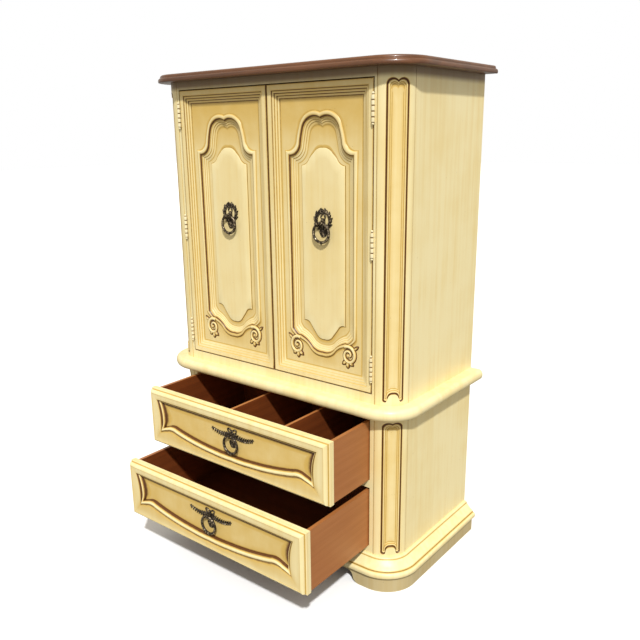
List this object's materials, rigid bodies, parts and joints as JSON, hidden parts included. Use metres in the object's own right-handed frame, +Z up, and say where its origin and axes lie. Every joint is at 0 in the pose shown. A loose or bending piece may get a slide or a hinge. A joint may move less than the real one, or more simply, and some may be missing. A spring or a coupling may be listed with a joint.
{
  "type": "armoire",
  "caption": "Painted armoire with a dark top, hinged panelled doors over open-standing drawers, and ring pulls on leaf plates",
  "frame": {"origin": "on the floor at the middle of the back, on the underside of the plinth's back board", "axes": "+Z up, +X to the right seen from the front, front faces -Y, the back is the plane y = 0"},
  "size_m": [1.068, 0.8519, 1.647],
  "materials": {
    "cream_paint": "antiqued cream enamel over wood with brown glaze in the grooves, satin",
    "walnut_top": "dark walnut, lacquered gloss",
    "drawer_wood": "red-brown stained drawer wood, satin",
    "inner_wood": "bare secondary wood and panel, matt",
    "antique_bronze": "dark antique bronze with rubbed edges",
    "hinge_metal": "steel painted over with the case",
    "catch_plastic": "brown moulded plastic, matt"
  },
  "bodies": {
    "root": {"base_board": "inner_wood", "base_moulding": "cream_paint", "door_bay_rail": "cream_paint", "door_catches": "catch_plastic", "door_stiles": "cream_paint", "drawer_rails": "cream_paint", "drawer_stiles": "cream_paint", "frieze_rail": "cream_paint", "hinge_frame_leaves": "hinge_metal", "hinge_pins": "hinge_metal", "lower_back_panel": "inner_wood", "lower_corner_posts": "cream_paint", "lower_side_left": "cream_paint", "lower_side_right": "cream_paint", "plinth_back": "inner_wood", "plinth_front": "cream_paint", "plinth_sides": "cream_paint", "runner_boards": "inner_wood", "runner_guides": "inner_wood", "shelf_pins": "hinge_metal", "shelves": "inner_wood", "top_board": "walnut_top", "upper_back_panel": "inner_wood", "upper_corner_posts": "cream_paint", "upper_floor": "inner_wood", "upper_side_left": "cream_paint", "upper_side_right": "cream_paint", "upper_top_panel": "inner_wood", "waist_board": "cream_paint"},
    "door_left": {"door_left_back_panel": "cream_paint", "door_left_field": "cream_paint", "door_left_fittings": "hinge_metal", "door_left_frame": "cream_paint", "door_left_pull_plate": "antique_bronze", "door_left_raised_panel": "cream_paint", "door_left_scrolls": "cream_paint"},
    "door_left_ring": {"door_left_pull_ring": "antique_bronze"},
    "door_right": {"door_right_back_panel": "cream_paint", "door_right_field": "cream_paint", "door_right_fittings": "hinge_metal", "door_right_frame": "cream_paint", "door_right_pull_plate": "antique_bronze", "door_right_raised_panel": "cream_paint", "door_right_scrolls": "cream_paint"},
    "door_right_ring": {"door_right_pull_ring": "antique_bronze"},
    "upper_drawer": {"upper_drawer_back": "drawer_wood", "upper_drawer_bottom": "drawer_wood", "upper_drawer_dividers": "drawer_wood", "upper_drawer_front": "cream_paint", "upper_drawer_front_frame": "cream_paint", "upper_drawer_pull_plate": "antique_bronze", "upper_drawer_sides": "drawer_wood"},
    "upper_drawer_ring": {"upper_drawer_pull_ring": "antique_bronze"},
    "lower_drawer": {"lower_drawer_back": "drawer_wood", "lower_drawer_bottom": "drawer_wood", "lower_drawer_front": "cream_paint", "lower_drawer_front_frame": "cream_paint", "lower_drawer_pull_plate": "antique_bronze", "lower_drawer_sides": "drawer_wood"},
    "lower_drawer_ring": {"lower_drawer_pull_ring": "antique_bronze"}
  },
  "joints": [
    {"name": "door_left_hinge", "type": "hinge", "parent": "root", "child": "door_left", "pos_m": [-0.401, -0.5085, 1.132], "axis": [0, 0, -1], "range_deg": [0, 165]},
    {"name": "door_right_hinge", "type": "hinge", "parent": "root", "child": "door_right", "pos_m": [0.401, -0.5085, 1.132], "axis": [0, 0, 1], "range_deg": [0, 165]},
    {"name": "upper_drawer_slide", "type": "slide", "parent": "root", "child": "upper_drawer", "axis": [0, -1, 0], "range_m": [-0.1945, 0.175]},
    {"name": "lower_drawer_slide", "type": "slide", "parent": "root", "child": "lower_drawer", "axis": [0, -1, 0], "range_m": [-0.3095, 0.06]},
    {"name": "door_left_ring_hinge", "type": "hinge", "parent": "door_left", "child": "door_left_ring", "pos_m": [-0.20075, -0.492, 1.182], "axis": [-1, 0, 0], "range_deg": [0, 85]},
    {"name": "door_right_ring_hinge", "type": "hinge", "parent": "door_right", "child": "door_right_ring", "pos_m": [0.20075, -0.492, 1.182], "axis": [-1, 0, 0], "range_deg": [0, 85]},
    {"name": "upper_drawer_ring_hinge", "type": "hinge", "parent": "upper_drawer", "child": "upper_drawer_ring", "pos_m": [0, -0.729, 0.502], "axis": [-1, 0, 0], "range_deg": [0, 85]},
    {"name": "lower_drawer_ring_hinge", "type": "hinge", "parent": "lower_drawer", "child": "lower_drawer_ring", "pos_m": [0, -0.844, 0.263], "axis": [-1, 0, 0], "range_deg": [0, 85]}
  ]
}
